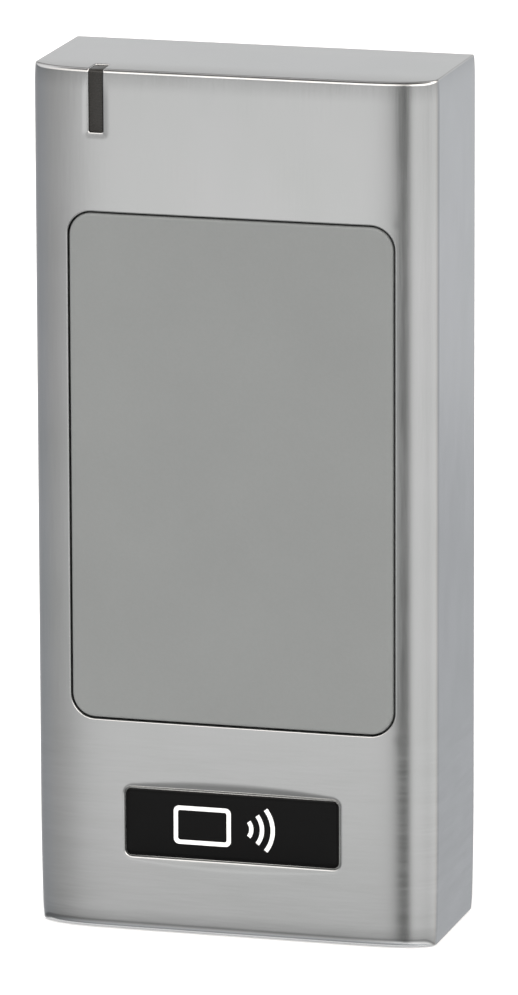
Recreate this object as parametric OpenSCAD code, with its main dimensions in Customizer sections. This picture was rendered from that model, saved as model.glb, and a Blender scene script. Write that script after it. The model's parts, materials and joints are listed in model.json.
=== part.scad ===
// Wall-mounted proximity card reader.
// X runs to the viewer's right, Y from the front face back to the wall, Z up.
// The origin is the centre of the wall plane, which is the rear face of the mounting plate.

/* [Housing] */
// Width of the housing
body_w = 67; // [66:0.5:72]
// Height of the housing
body_h = 142.5; // [140:0.5:150]
// Depth of the housing from the wall to its front face
body_d = 27; // [27:0.5:32]
// Wall thickness of the die-cast shell
wall_t = 2.5; // [2.3:0.1:2.7]
// Width of the soft roll along each long front edge
roll_w = 10; // [8:0.5:11]
// Depth of that roll
roll_d = 4.5; // [3.5:0.1:5]
// Radius along the top and bottom front edges
lip_r = 1.2; // [0.6:0.1:1.6]

/* [Card window] */
// Width of the window opening
window_w = 54.4; // [50:0.2:54.4]
// Height of the window opening
window_h = 83.8; // [76:0.2:84]
// Corner radius of the window opening
window_r = 4.1; // [3:0.1:6]
// Height of the window's centre above the middle of the housing
window_z = 6; // [5.5:0.1:6.5]
// Gap around the panel in its opening
window_gap = 0.45; // [0.2:0.05:0.6]

/* [Nameplate] */
// Width of the nameplate
plate_w = 36.3; // [24:0.1:44]
// Height of the nameplate
plate_h = 11.7; // [8:0.1:12]
// Height of its centre, below the middle of the housing
plate_z = -52.7; // [-53.5:0.1:-51.5]

/* [Status light] */
// Width of the light pipe
light_w = 2.3; // [1.6:0.1:2.6]
// Length of the light pipe down the front face
light_h = 10.4; // [9:0.1:12]
// Length of the light pipe back over the top face
light_top = 4; // [3:0.1:5]
// Sideways place of the light pipe
light_x = -22.2; // [-22.6:0.1:-21.6]

/* [Mounting] */
// Distance between the wall screws, left to right
screw_dx = 40; // [36:1:44]
// Distance between the wall screws, top to bottom
screw_dz = 100; // [90:1:104]
// Radius of the wall screw holes
screw_hole_r = 2.2; // [1.8:0.1:2.5]
// Radius of the cable hole through the grommet
cable_r = 2.75; // [2:0.05:3.2]

/* [Lock screw] */
// Radius of the lock screw
lock_r = 1.95; // [1.9:0.01:1.98]
// Length of the lock screw
lock_len = 6; // [5.5:0.1:6]

/* [Hidden] */
$fn = 48;
cut = 0.1;                                // overshoot of a cutting solid past a face

top_z = body_h / 2;
front_y = -body_d;
inner_x = body_w / 2 - wall_t;            // inner face of each side wall
inner_top = top_z - wall_t;
inner_y = front_y + wall_t;               // inner face of the front wall
inner_roll_w = 5;
inner_roll_d = 4;

// Window stack, from the front wall backwards
gasket_t = 0.5;
flange_t = 1;
flange_lip = 4.6;                         // how much wider than the opening the flange is
flange_y = inner_y + gasket_t;            // front face of the flange
pocket_gap = 0.5;                         // room around the flange, behind the front wall
pocket_t = 3;
former_y = flange_y + flange_t;           // front face of the coil former
former_t = 3;
former_w = 56;
former_h = 86;
former_band = 5;
groove_depth = 1.5;
groove_t = 1.8;
foot_r = 1.2;

// Main board
board_w = 58;
board_z0 = -52.5;
board_z1 = 60.5;
board_t = 1.6;
board_front = -17.2;
board_back = board_front + board_t;
board_screw_at = [[-13, 57], [13, 57], [-26, -46], [26, -46]];
boss_r = 3;
pilot_r = 1.25;
shank_r = 1.2;
thread_len = 6.4;
head_r = 2.3;
head_t = 1.3;

// Back cover and its seat
cover_back = -8.5;
cover_t = 2;
cover_front = cover_back - cover_t;
cover_gap = 0.4;                          // room around the cover inside the housing
cover_w = 2 * (inner_x - cover_gap);
cover_z0 = -59.9;
cover_z1 = inner_top - cover_gap;
seal_w = 1.1;
seal_t = 0.8;
ledge_back = cover_front - seal_t;
ledge_t = 1.2;
ledge_lip = 2.2;
partition_z0 = -62;
partition_z1 = -60.4;
cover_screw_at = [[-27.5, 64.5], [27.5, 64.5], [-27.5, -57], [27.5, -57]];
cover_boss_r = 3.2;
cover_boss_deep = 9;

// Cable connector
pins = 8;
pin_pitch = 2.3;
pin_size = [0.6, 2.8, 0.6];
connector_z = 30.75;
connector_size = [21, 5.5];
connector_t = 4.2;
connector_wall = 0.8;
connector_floor = 1;

// Light pipe and its shroud
light_gap = 0.05;
light_stem_z = [56.5, 59];
led_z = [56.9, 58.5];
led_size = 1.2;
led_t = 1.6;
light_stem_back = -19.4;
light_flange = 0.8;                       // how far the inner flange stands past the bar
shroud_size = [5.2, 5.4];
shroud_t = 5.2;
shroud_wall = 0.9;

// Nameplate
plate_r = 1.2;
plate_deep = 0.9;
plate_t = 0.8;
symbol_t = 0.1;
sign_card = [9.6, 6.4];
sign_card_x = -5;
sign_line = 0.7;
sign_wave_x = 1.2;
sign_waves = [2.4, 4.2, 6];

// Mounting plate
sheet_t = 1.5;
sheet_w = 58;
sheet_z0 = -62.3;
sheet_z1 = 60;
hook_x = 15;
hook_w = 8;
hook_back = -5.3;
hook_tip = 66.8;
catch_w = 12;
catch_y = [-3.2, -1.8];
catch_z = 65.5;
flange_half = 7;
flange_reach = 9.5;
cable_z = 12;
sheet_cable_r = 8;

// Lock screw, its insert and boss
lock_y = -6;
lock_boss_r = 4.2;
lock_boss_top = -63.2;
insert_r = 3;
insert_bore = 2;
insert_len = 6;
lock_rest_tip = -63.4;
lock_socket_r = 1.15;
lock_socket_deep = 2;
ring_r = 1.72;
ring_wire = 0.26;
ring_z = 1;                               // height of the ring above the screw's lower end

// Tamper contact
tamper_x = 18;
tamper_z = -35;
plunger_r = 1.5;
plunger_out = 1.2;                        // how far the tip stands past the wall plane
collar_r = 2.6;
collar_y = [-11.5, -10.7];
plunger_end = -12.6;
switch_size = 7;
switch_t = 1.2;
spring_r = 2;
spring_wire = 0.25;
spring_turns = 4;

// ---- Shared shapes ----

// A rectangle with true round corners, centred
module round_rect(w, h, r) {
    square([w - 2 * r, h], center = true);
    square([w, h - 2 * r], center = true);
    for (sx = [-1, 1], sy = [-1, 1])
        translate([sx * (w / 2 - r), sy * (h / 2 - r)]) circle(r);
}

// Extrudes a drawing in X and Z forward from the plane y = back
module forward(back, t) {
    translate([0, back, 0]) rotate([90, 0, 0]) linear_extrude(t) children();
}

// A round-cornered slab centred at height z
module slab(w, h, r, z, back, t) {
    forward(back, t) translate([0, z]) round_rect(w, h, r);
}

// A round-cornered frame with a band of width b
module ring_slab(w, h, r, b, z, back, t) {
    forward(back, t) translate([0, z]) difference() {
        round_rect(w, h, r);
        round_rect(w - 2 * b, h - 2 * b, max(r - b, 0.5));
    }
}

// A cylinder along Y from y = back towards the front
module peg(x, z, r, back, t) {
    translate([x, back, z]) rotate([90, 0, 0]) cylinder(h = t, r = r);
}

// A box between two corners
module span(low, high) {
    translate(low) cube(high - low);
}

// Section of the shell, its front edges following a quarter ellipse
function shell_edge(w, d, rw, rd) = [for (i = [0:12]) let (a = 7.5 * i)
    [w / 2 - rw + rw * cos(a), -d + rd - rd * sin(a)]];
function shell_section(w, d, rw, rd) = let (edge = shell_edge(w, d, rw, rd)) concat(
    [[w / 2, 0]], edge, [for (i = [len(edge) - 1:-1:0]) [-edge[i][0], edge[i][1]]], [[-w / 2, 0]]);

// Side outline of the shell, with its small front radii
module side_outline() {
    translate([front_y + lip_r, -top_z]) square([body_d - lip_r, body_h]);
    translate([front_y, -top_z + lip_r]) square([body_d, body_h - 2 * lip_r]);
    for (s = [-1, 1]) translate([front_y + lip_r, s * (top_z - lip_r)]) circle(lip_r);
}

// The solid outer form of the housing
module outer_form() {
    intersection() {
        translate([0, 0, -top_z]) linear_extrude(body_h)
            polygon(shell_section(body_w, body_d, roll_w, roll_d));
        translate([-body_w / 2, 0, 0]) rotate([90, 0, 90]) linear_extrude(body_w) side_outline();
    }
}

// A pan-head screw along Y with a hex socket, its head's underside at y = seat
module pan_screw(x, z, seat, length) {
    difference() {
        union() {
            peg(x, z, head_r, seat + head_t, head_t);
            peg(x, z, shank_r, seat + cut, length + cut);
        }
        translate([x, seat + head_t + cut, z]) rotate([90, 0, 0])
            cylinder(h = 0.9 + cut, r = 0.85, $fn = 6);
    }
}

// A chip on the board's front face with leads on two or four sides
module chip(x, z, w, h, t, leads, pitch, four_sided) {
    span([x - w / 2, board_front - t, z - h / 2], [x + w / 2, board_front, z + h / 2]);
    for (i = [0:leads - 1]) {
        along = (i - (leads - 1) / 2) * pitch;
        for (s = [-1, 1]) {
            translate([x + s * (w / 2 + 0.4), board_front - 0.2, z + along])
                cube([1, 0.4, pitch * 0.4], center = true);
            if (four_sided) translate([x + along, board_front - 0.2, z + s * (h / 2 + 0.4)])
                cube([pitch * 0.4, 0.4, 1], center = true);
        }
    }
}

// ---- Mounting plate ----

module wall_plate() color("gainsboro") {
    difference() {
        union() {
            slab(sheet_w, sheet_z1 - sheet_z0, 4, (sheet_z0 + sheet_z1) / 2, 0, sheet_t);
            span([-flange_half, -flange_reach, sheet_z0], [flange_half, 0, sheet_z0 + sheet_t]);
            for (s = [-1, 1]) hook(s * hook_x);
        }
        for (sx = [-1, 1], sz = [-1, 1])
            peg(sx * screw_dx / 2, sz * screw_dz / 2, screw_hole_r, cut, sheet_t + 2 * cut);
        peg(0, cable_z, sheet_cable_r, cut, sheet_t + 2 * cut);
        peg(tamper_x, tamper_z, 3, cut, sheet_t + 2 * cut);
        translate([0, lock_y, sheet_z0 - cut]) cylinder(h = sheet_t + 2 * cut, r = 2.3);
    }
}

// A tab bent forward and then up, which the housing's catch drops behind
module hook(x) {
    low = sheet_z1 - sheet_t;
    span([x - hook_w / 2, hook_back - sheet_t, low], [x + hook_w / 2, 0, sheet_z1]);
    span([x - hook_w / 2, hook_back - sheet_t, low], [x + hook_w / 2, hook_back, hook_tip]);
}

// ---- Housing ----

module housing() color("silver") {
    difference() {
        union() {
            difference() {
                outer_form();
                inner_cavity();
            }
            housing_bosses();
            cover_ledge();
            for (s = [-1, 1])
                span([s * hook_x - catch_w / 2, catch_y[0], catch_z],
                    [s * hook_x + catch_w / 2, catch_y[1], inner_top + cut]);
            translate([0, lock_y, -top_z + 1]) cylinder(h = lock_boss_top + top_z - 1, r = lock_boss_r);
        }
        slab(window_w, window_h, window_r, window_z, inner_y + 2, wall_t + 4);
        slab(window_w + flange_lip + 2 * pocket_gap, window_h + flange_lip + 2 * pocket_gap, 5,
            window_z, inner_y + pocket_t, pocket_t);
        slab(plate_w, plate_h, plate_r, plate_z, front_y + plate_deep, 2);
        light_slot();
        pilot_holes();
        translate([0, lock_y, lock_boss_top - insert_len]) cylinder(h = insert_len + cut, r = insert_r);
        translate([0, lock_y, -top_z - cut])
            cylinder(h = lock_boss_top - insert_len + top_z + 2 * cut, r = 2.1);
    }
}

// The hollow of the shell, open at the wall
module inner_cavity() {
    translate([0, cut, -inner_top]) linear_extrude(2 * inner_top)
        polygon(shell_section(2 * inner_x, -inner_y + cut, inner_roll_w, inner_roll_d));
}

// Posts for the board screws and the cover screws
module housing_bosses() {
    for (p = board_screw_at) peg(p[0], p[1], boss_r, board_front, board_front - inner_y + 0.2);
    intersection() {
        for (p = cover_screw_at) peg(p[0], p[1], cover_boss_r, ledge_back, ledge_back - inner_y + 1);
        outer_form();
    }
}

// Shelf around the cavity that the cover's seal lies on, and the wall that closes it below
module cover_ledge() {
    forward(ledge_back, ledge_t) difference() {
        translate([-inner_x - cut, partition_z0])
            square([2 * (inner_x + cut), inner_top + cut - partition_z0]);
        translate([-inner_x + ledge_lip, cover_z0 - cover_gap + ledge_lip])
            square([2 * (inner_x - ledge_lip), cover_z1 - cover_z0 + 2 * (cover_gap - ledge_lip)]);
    }
    intersection() {
        span([-inner_x - cut, inner_y - cut, partition_z0], [inner_x + cut, ledge_back, partition_z1]);
        outer_form();
    }
}

// Blind screw holes in the posts
module pilot_holes() {
    for (p = board_screw_at) peg(p[0], p[1], pilot_r, board_front + cut, thread_len);
    for (p = cover_screw_at) peg(p[0], p[1], pilot_r, ledge_back + cut, cover_boss_deep);
}

// Slot for the light pipe, through the front wall and over the top edge
module light_slot() {
    half = light_w / 2 + light_gap;
    span([light_x - half, front_y - cut, top_z - light_h - light_gap],
        [light_x + half, inner_y + 2, top_z - wall_t]);
    span([light_x - half, front_y - cut, top_z - wall_t - cut],
        [light_x + half, front_y + light_top + light_gap, top_z + cut]);
}

// ---- Card window ----

module window_panel() color("darkgray") {
    intersection() {
        slab(window_w - 2 * window_gap, window_h - 2 * window_gap, window_r - window_gap,
            window_z, former_y, former_y - front_y + cut);
        outer_form();
    }
    slab(window_w + flange_lip, window_h + flange_lip, 4, window_z, former_y, flange_t);
}

module window_gasket() color("dimgray")
    ring_slab(window_w + flange_lip, window_h + flange_lip, 4, flange_lip / 2 - 0.2,
        window_z, flange_y, gasket_t);

// ---- Status light ----

module light_pipe() color("darkslategray") {
    half = light_w / 2;
    intersection() {
        union() {
            span([light_x - half, front_y, top_z - light_h], [light_x + half, inner_y + cut, top_z]);
            span([light_x - half, front_y, inner_top - cut], [light_x + half, front_y + light_top, top_z]);
        }
        outer_form();
    }
    span([light_x - half - light_flange, inner_y + 0.05, light_stem_z[0] - 1],
        [light_x + half + light_flange, inner_y + 1.2, inner_top - 0.1]);
    span([light_x - half, inner_y + cut, light_stem_z[0]],
        [light_x + half, light_stem_back, light_stem_z[1]]);
}

module status_leds() color("lightyellow")
    for (z = led_z) translate([light_x, board_front - led_t / 2, z])
        cube([1.6, led_t, led_size], center = true);

module led_shroud() color("black")
    forward(board_front, shroud_t) translate([light_x, board_z1 - shroud_size[1] / 2 - 0.1]) difference() {
        square(shroud_size, center = true);
        square(shroud_size - 2 * [shroud_wall, shroud_wall], center = true);
    }

// ---- Nameplate ----

module nameplate() color("black")
    slab(plate_w - 0.1, plate_h - 0.1, plate_r, plate_z, front_y + plate_deep, plate_t);

// A card outline and three arcs, a plain sign for contactless reading
module nameplate_symbol() color("white")
    forward(front_y + plate_deep - plate_t, symbol_t) translate([0, plate_z]) {
        translate([sign_card_x, 0]) difference() {
            round_rect(sign_card[0], sign_card[1], 0.9);
            round_rect(sign_card[0] - 2 * sign_line, sign_card[1] - 2 * sign_line, 0.4);
        }
        for (r = sign_waves) translate([sign_wave_x, 0]) intersection() {
            difference() {
                circle(r);
                circle(r - sign_line);
            }
            polygon([[0, 0], [8, -6.2], [8, 6.2]]);
        }
    }

// ---- Antenna ----

module coil_former() color("ivory") {
    core = 2 * groove_depth;
    ring_slab(former_w - core, former_h - core, 4, former_band - groove_depth, window_z,
        former_y + former_t, former_t);
    for (back = [former_y + former_t, former_y + (former_t - groove_t) / 2])
        ring_slab(former_w, former_h, 5, former_band, window_z, back, (former_t - groove_t) / 2);
    for (sx = [-1, 1], sz = [-1, 1])
        peg(sx * (former_w / 2 - 3), window_z + sz * (former_h / 2 - 6), foot_r, board_front,
            board_front - former_y - former_t + cut);
}

module antenna_coil() color("peru")
    ring_slab(former_w - 0.6, former_h - 0.6, 4.8, groove_depth - 0.3, window_z,
        former_y + (former_t + groove_t) / 2, groove_t);

// ---- Main board ----

module main_board() color("darkgreen")
    difference() {
        slab(board_w, board_z1 - board_z0, 1.5, (board_z0 + board_z1) / 2, board_back, board_t);
        for (p = board_screw_at) peg(p[0], p[1], 1.35, board_back + cut, board_t + 2 * cut);
    }

module board_screws() color("lightgray")
    for (p = board_screw_at) pan_screw(p[0], p[1], board_back, thread_len);

module microcontroller() color("black") chip(0, -22, 7, 7, 1, 8, 0.8, true);

module rf_chip() color("black") chip(0, 8, 5, 6.4, 1.1, 5, 1.27, false);

module voltage_regulator() color("black") chip(19.5, 24, 4, 6.5, 1.4, 3, 2.3, false);

module crystal() color("silver")
    forward(board_front, 1.8) translate([-12, -22]) round_rect(4, 9.5, 1.9);

module smd_passives() color("tan")
    for (column = [0:3], row = [0:4])
        translate([-14 + 9.4 * column, board_front - 0.3, 34 - 9 * row + 1.5 * column])
            cube([0.9, 0.6, 1.7], center = true);

module electrolytic_capacitors() color("lightsteelblue")
    for (x = [14, 21]) {
        peg(x, 44, 2.5, board_back + 4.3, 3.8);
        span([x - 2.6, board_back, 41.4], [x + 2.6, board_back + 0.6, 46.6]);
    }

module buzzer() color("black") difference() {
    peg(-16, -30, 4.8, board_back + 4.2, 4.2);
    peg(-16, -30, 0.8, board_back + 4.2 + cut, 1.5);
}

module cable_connector() color("whitesmoke") difference() {
    slab(connector_size[0], connector_size[1], 0.3, connector_z, board_back + connector_t,
        connector_t);
    slab(connector_size[0] - 2 * connector_wall, connector_size[1] - 2 * connector_wall, 0.3,
        connector_z, board_back + connector_t + cut, connector_t - connector_floor + cut);
}

module connector_pins() color("gold")
    translate([0, board_back + connector_floor + pin_size[1] / 2, connector_z])
    for (i = [0:pins - 1])
        translate([(i - (pins - 1) / 2) * pin_pitch, 0, 0])
        cube(pin_size, center = true);

// ---- Tamper contact ----

module tamper_switch() color("dimgray") difference() {
    span([tamper_x - switch_size / 2, board_back, tamper_z - switch_size / 2],
        [tamper_x + switch_size / 2, board_back + switch_t, tamper_z + switch_size / 2]);
    peg(tamper_x, tamper_z, plunger_r + 0.2, board_back + switch_t + cut, 0.4);
}

module tamper_plunger() color("white") {
    peg(tamper_x, tamper_z, plunger_r, plunger_out, plunger_out - plunger_end);
    peg(tamper_x, tamper_z, collar_r, collar_y[1], collar_y[1] - collar_y[0]);
}

// A coil spring, swept round its axis as a closed tube
module tamper_spring() color("silver") {
    low = board_back + switch_t + spring_wire;
    high = collar_y[0] - spring_wire;
    sides = 6;
    rings = spring_turns * 14;
    points = [for (i = [0:rings], j = [0:sides - 1])
        let (turn = 360 * spring_turns * i / rings, a = 360 * j / sides,
            r = spring_r + spring_wire * cos(a))
        [tamper_x + r * cos(turn), low + (high - low) * i / rings + spring_wire * sin(a),
            tamper_z + r * sin(turn)]];
    walls = [for (i = [0:rings - 1], j = [0:sides - 1]) let (k = (j + 1) % sides)
        [i * sides + k, i * sides + j, (i + 1) * sides + j, (i + 1) * sides + k]];
    ends = [[for (j = [0:sides - 1]) j], [for (j = [sides - 1:-1:0]) rings * sides + j]];
    polyhedron(points, concat(walls, ends));
}

// ---- Back cover ----

module back_cover() color("darkslategray") difference() {
    slab(cover_w, cover_z1 - cover_z0, 1.5, (cover_z0 + cover_z1) / 2, cover_back, cover_t);
    for (p = cover_screw_at) peg(p[0], p[1], 1.35, cover_back + cut, cover_t + 2 * cut);
    peg(tamper_x, tamper_z, plunger_r + 0.08, cover_back + cut, cover_t + 2 * cut);
    peg(0, cable_z, 5, cover_back + cut, cover_t + 2 * cut);
}

module cover_seal() color("black")
    ring_slab(cover_w - 0.4, cover_z1 - cover_z0 - 0.4, 1.5, seal_w, (cover_z0 + cover_z1) / 2,
        ledge_back + seal_t, seal_t);

module cover_screws() color("lightgray")
    for (p = cover_screw_at) pan_screw(p[0], p[1], cover_back, cover_t + seal_t + thread_len);

// A rubber ring clipped into the cover, with a flange on each face
module cable_grommet() color("black") difference() {
    union() {
        peg(0, cable_z, 5, cover_back + cut, cover_t + 2 * cut);
        peg(0, cable_z, 6.4, cover_back + 1, 1);
        peg(0, cable_z, 6.4, cover_front, 1);
    }
    peg(0, cable_z, cable_r, cover_back + 1 + cut, cover_t + 2 + 2 * cut);
}

// ---- Lock screw ----

module lock_insert() color("goldenrod")
    translate([0, lock_y, lock_boss_top - insert_len]) difference() {
        cylinder(h = insert_len, r = insert_r);
        translate([0, 0, -cut]) cylinder(h = insert_len + 2 * cut, r = insert_bore);
    }

module lock_screw_seal() color("black")
    translate([0, lock_y, lock_rest_tip - lock_len + ring_z])
        rotate_extrude() translate([ring_r, 0]) circle(ring_wire);

module lock_screw() color("silver")
    translate([0, lock_y, lock_rest_tip - lock_len]) difference() {
        cylinder(h = lock_len, r = lock_r);
        translate([0, 0, -cut]) cylinder(h = lock_socket_deep + cut, r = lock_socket_r, $fn = 6);
        translate([0, 0, ring_z - ring_wire - 0.04]) difference() {
            cylinder(h = 2 * ring_wire + 0.08, r = lock_r + cut);
            translate([0, 0, -cut]) cylinder(h = 1, r = ring_r - ring_wire - 0.02);
        }
    }

wall_plate();
housing();
window_panel();
window_gasket();
light_pipe();
nameplate();
nameplate_symbol();
coil_former();
antenna_coil();
main_board();
board_screws();
microcontroller();
rf_chip();
voltage_regulator();
crystal();
electrolytic_capacitors();
smd_passives();
buzzer();
status_leds();
led_shroud();
cable_connector();
connector_pins();
tamper_switch();
tamper_spring();
tamper_plunger();
back_cover();
cover_seal();
cover_screws();
cable_grommet();
lock_insert();
lock_screw_seal();
lock_screw();
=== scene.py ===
import json
import math

import bpy
import bmesh
import numpy as np
from mathutils import Matrix, Vector
from mathutils.geometry import delaunay_2d_cdt


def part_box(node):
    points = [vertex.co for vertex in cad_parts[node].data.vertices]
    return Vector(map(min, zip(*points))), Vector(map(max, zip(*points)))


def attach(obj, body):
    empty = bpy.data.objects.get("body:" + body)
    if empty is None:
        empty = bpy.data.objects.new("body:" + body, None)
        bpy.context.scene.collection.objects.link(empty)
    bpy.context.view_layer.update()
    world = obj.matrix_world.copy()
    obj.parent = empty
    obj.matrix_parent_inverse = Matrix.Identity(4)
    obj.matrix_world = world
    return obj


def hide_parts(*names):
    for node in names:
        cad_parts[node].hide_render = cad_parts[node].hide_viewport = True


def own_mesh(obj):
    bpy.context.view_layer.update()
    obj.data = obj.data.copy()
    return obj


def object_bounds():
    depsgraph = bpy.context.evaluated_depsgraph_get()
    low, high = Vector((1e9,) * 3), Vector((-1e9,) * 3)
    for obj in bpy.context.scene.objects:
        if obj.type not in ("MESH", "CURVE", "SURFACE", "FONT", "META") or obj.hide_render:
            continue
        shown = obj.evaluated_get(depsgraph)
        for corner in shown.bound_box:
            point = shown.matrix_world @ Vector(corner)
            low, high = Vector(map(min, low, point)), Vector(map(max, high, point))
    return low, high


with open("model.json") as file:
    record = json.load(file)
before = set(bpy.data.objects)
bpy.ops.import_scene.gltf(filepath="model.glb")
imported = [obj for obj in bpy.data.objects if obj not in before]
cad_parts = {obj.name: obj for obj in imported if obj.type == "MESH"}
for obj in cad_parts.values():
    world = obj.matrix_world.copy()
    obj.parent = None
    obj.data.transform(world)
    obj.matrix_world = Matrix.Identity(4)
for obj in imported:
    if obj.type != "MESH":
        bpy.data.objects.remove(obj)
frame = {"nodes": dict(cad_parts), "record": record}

cad_box = [list(corner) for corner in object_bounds()]

# ---- Sizes, in millimetres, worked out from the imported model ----

MM = 0.001


def size_box(node):
    low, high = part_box(node)
    return low / MM, high / MM


HOUSING_LOW, HOUSING_HIGH = size_box("housing")
HALF_W = HOUSING_HIGH.x
DEPTH = -HOUSING_LOW.y
TOP = HOUSING_HIGH.z
WALL = 2.5
ROLL_W = 10.0                  # the soft roll along each long front edge: across the front
ROLL_D = 4.5                   # and back along the side
FRONT_POWER = 8                # how flat the front stays before it rolls over
LIP = 0.75                     # radius along the top front edge
BOTTOM_LIP = 1.7               # and along the bottom one
SIDE_LIP = 0.35                # the same radius along the sides
LIP_HOLD = 0.6                 # how much of the roll keeps the front radius
SOFT_REACH = 3.8               # the polished fall towards the top and bottom edges
SOFT_DROP = 0.14
BOTTOM_REACH = 22.0            # a slower fall of the front towards its foot
BOTTOM_DROP = 0.3
TOP_REACH = 7.0                # the top face's own fall towards the front
TOP_DROP = 0.2
INNER_X = HALF_W - WALL
INNER_Y = -DEPTH + WALL
INNER_TOP = TOP - WALL

GASKET_LOW, GASKET_HIGH = size_box("window_gasket")
FLANGE_LIP = 2.3               # how far the window's flange reaches past the opening
FLANGE_R = 4.0
WINDOW_LOW = (GASKET_LOW.x + FLANGE_LIP, GASKET_LOW.z + FLANGE_LIP)
WINDOW_HIGH = (GASKET_HIGH.x - FLANGE_LIP, GASKET_HIGH.z - FLANGE_LIP)
WINDOW_R = 4.1
WINDOW_GAP = 0.27
WINDOW_RIM = 0.22
WINDOW_EDGE = 0.5

PLATE_LOW, PLATE_HIGH = size_box("nameplate")
PLATE_GAP = 0.05
PLATE_R = 1.25
PLATE_EDGE = 0.2               # width of the plate's bright cut edge
PLATE_RIM = 0.25
DISH_REACH = 1.8               # the polished hollow around the plate
DISH_DEEP = 0.27
DISH_BOW = 0.72                # how much of it is lost towards the plate's ends
DISH_END = 1.5

LIGHT_LOW, LIGHT_HIGH = size_box("light_pipe")
LIGHT_FLANGE = 0.8
LIGHT_DOWN = 10.4              # length of the light bar down the front
LIGHT_BACK = 4.0               # and back over the top
LIGHT_GAP = 0.05
LIGHT_SUNK = 0.12
SLOT_DEEP = 0.8
SLOT_RIM = 0.22
SLOT_REACH = 1.3               # the polished hollow along the slot
SLOT_DISH = 0.14
SLOT_FADE = 6.0                # height over which that hollow fades out at the top

LIGHT_SPAN = (LIGHT_LOW.x + LIGHT_FLANGE, LIGHT_HIGH.x - LIGHT_FLANGE)
FLAT = HALF_W - ROLL_W
ROLL_STEP = 8.2                # how fast the unrolled coordinate runs with the roll's angle
HOLLOWS = FLAT + 6             # both hollows lie within this of the middle
U_SIDE = FLAT + ROLL_STEP * math.pi / 2
U_END = U_SIDE + DEPTH - ROLL_D
V_FLAT = TOP - LIP
V_SOFT = TOP - SOFT_REACH
V_END = V_FLAT + LIP * math.pi / 2

POST_R = 3.0
POST_BORE = 1.25
BOARD_POSTS = ((-13, 57), (13, 57), (-26, -46), (26, -46))
COVER_POSTS = ((-27.5, 64.5), (-27.5, -57), (27.5, 64.5), (27.5, -57))
SHELF_FOOT = -60.4             # top of the wall below the electronics
SHELF_LAP = 1.4                # how far the cover's shelf reaches under its seal
SHELF_THICK = 1.2
SUNK_IN = 0.5                  # how far a rib's foot lies inside the wall it stands on

SPRING_WIRE = 0.25             # radius of the wire
SPRING_TURNS = 4
SPRING_CLOSE = 0.08            # how much closer together the end turns lie
COIL_TURNS = 8
COIL_BAND = 1.2                # depth of the antenna winding in its groove
COIL_R = 4.8                   # its outer corner radius

NORMAL_MATCH = 0.75            # a set normal is dropped on a face that points further away


# ---- Mesh building ----

class Shell:
    """Points and faces of one mesh, in millimetres."""

    def __init__(self):
        self.points = []
        self.faces = []
        self.normals = {}

    def add(self, points):
        first = len(self.points)
        self.points.extend(tuple(p) for p in points)
        return list(range(first, len(self.points)))

    def band(self, a, b, closed=True):
        """Joins two rows of the same length by quads."""
        count = len(a) if closed else len(a) - 1
        for i in range(count):
            j = (i + 1) % len(a)
            self.faces.append((a[i], a[j], b[j], b[i]))

    def fill(self, loops, flat, inner=(), place=None):
        """Fills the area inside the first loop and outside the others. flat gives a loop point's
        plane coordinates, and inner are more plane points, which place carries onto the surface."""
        ids = [i for ring in loops for i in ring]
        spots = [Vector(flat[i]) for i in ids] + [Vector(p) for p in inner]
        edges, first = [], 0
        for ring in loops:
            edges += [(first + k, first + (k + 1) % len(ring)) for k in range(len(ring))]
            first += len(ring)
        ids = ids + self.add(place(*p) for p in inner)
        out, _, faces, origin, _, _ = delaunay_2d_cdt(spots, edges, [], 0, 1e-5, True)
        rings = [np.array([flat[i] for i in ring]) for ring in loops]
        for face in faces:
            middle = sum((out[k] for k in face), Vector((0, 0))) / len(face)
            if sum(inside(middle, ring) for ring in rings) % 2:
                self.faces.append(tuple(ids[origin[k][0]] for k in face))

    def block(self, low, high):
        """A closed box between two corners."""
        xs, ys, zs = zip(low, high)
        p = self.add((x, y, z) for x in xs for y in ys for z in zs)
        for f in ((0, 1, 3, 2), (4, 6, 7, 5), (0, 4, 5, 1), (2, 3, 7, 6), (0, 2, 6, 4), (1, 5, 7, 3)):
            self.faces.append(tuple(p[k] for k in f))

    def lathe(self, centre, axis, outline, steps=40):
        """Turns a closed outline of (radius, place along the axis) about an axis through centre."""
        rings = []
        for radius, along in outline:
            if radius < 1e-6:
                rings.append(self.add([turned(centre, axis, 0, along, 0)]) * steps)
            else:
                rings.append(self.add(turned(centre, axis, radius, along, 2 * math.pi * k / steps)
                                      for k in range(steps)))
        for a, b in zip(rings, rings[1:] + rings[:1]):
            for k in range(steps):
                quad = (a[k], a[(k + 1) % steps], b[(k + 1) % steps], b[k])
                corners = tuple(dict.fromkeys(quad))
                if len(corners) > 2:
                    self.faces.append(corners)

    def build(self, name, material, crease=35, bevel=None):
        mesh = bpy.data.meshes.new(name)
        mesh.from_pydata([Vector(p) * MM for p in self.points], [], self.faces)
        bm = bmesh.new()
        bm.from_mesh(mesh)
        bmesh.ops.remove_doubles(bm, verts=[v for v in bm.verts if v.index not in self.normals], dist=1e-7)
        bmesh.ops.recalc_face_normals(bm, faces=bm.faces)
        bm.to_mesh(mesh)
        bm.free()
        for polygon in mesh.polygons:
            polygon.use_smooth = True
        mesh.set_sharp_from_angle(angle=math.radians(crease))
        if self.normals and len(mesh.vertices) == len(self.points):
            none = Vector((0, 0, 0))
            wanted = []
            for polygon in mesh.polygons:
                for i in polygon.vertices:
                    normal = Vector(self.normals.get(i, none))
                    wanted.append(normal if normal.dot(polygon.normal) > NORMAL_MATCH else none)
            mesh.normals_split_custom_set(wanted)
        piece = bpy.data.objects.new(name, mesh)
        bpy.context.scene.collection.objects.link(piece)
        mesh.materials.append(material)
        if bevel:
            width, segments = bevel
            add_bevel(piece, width, segments, crease)
        return piece


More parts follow.
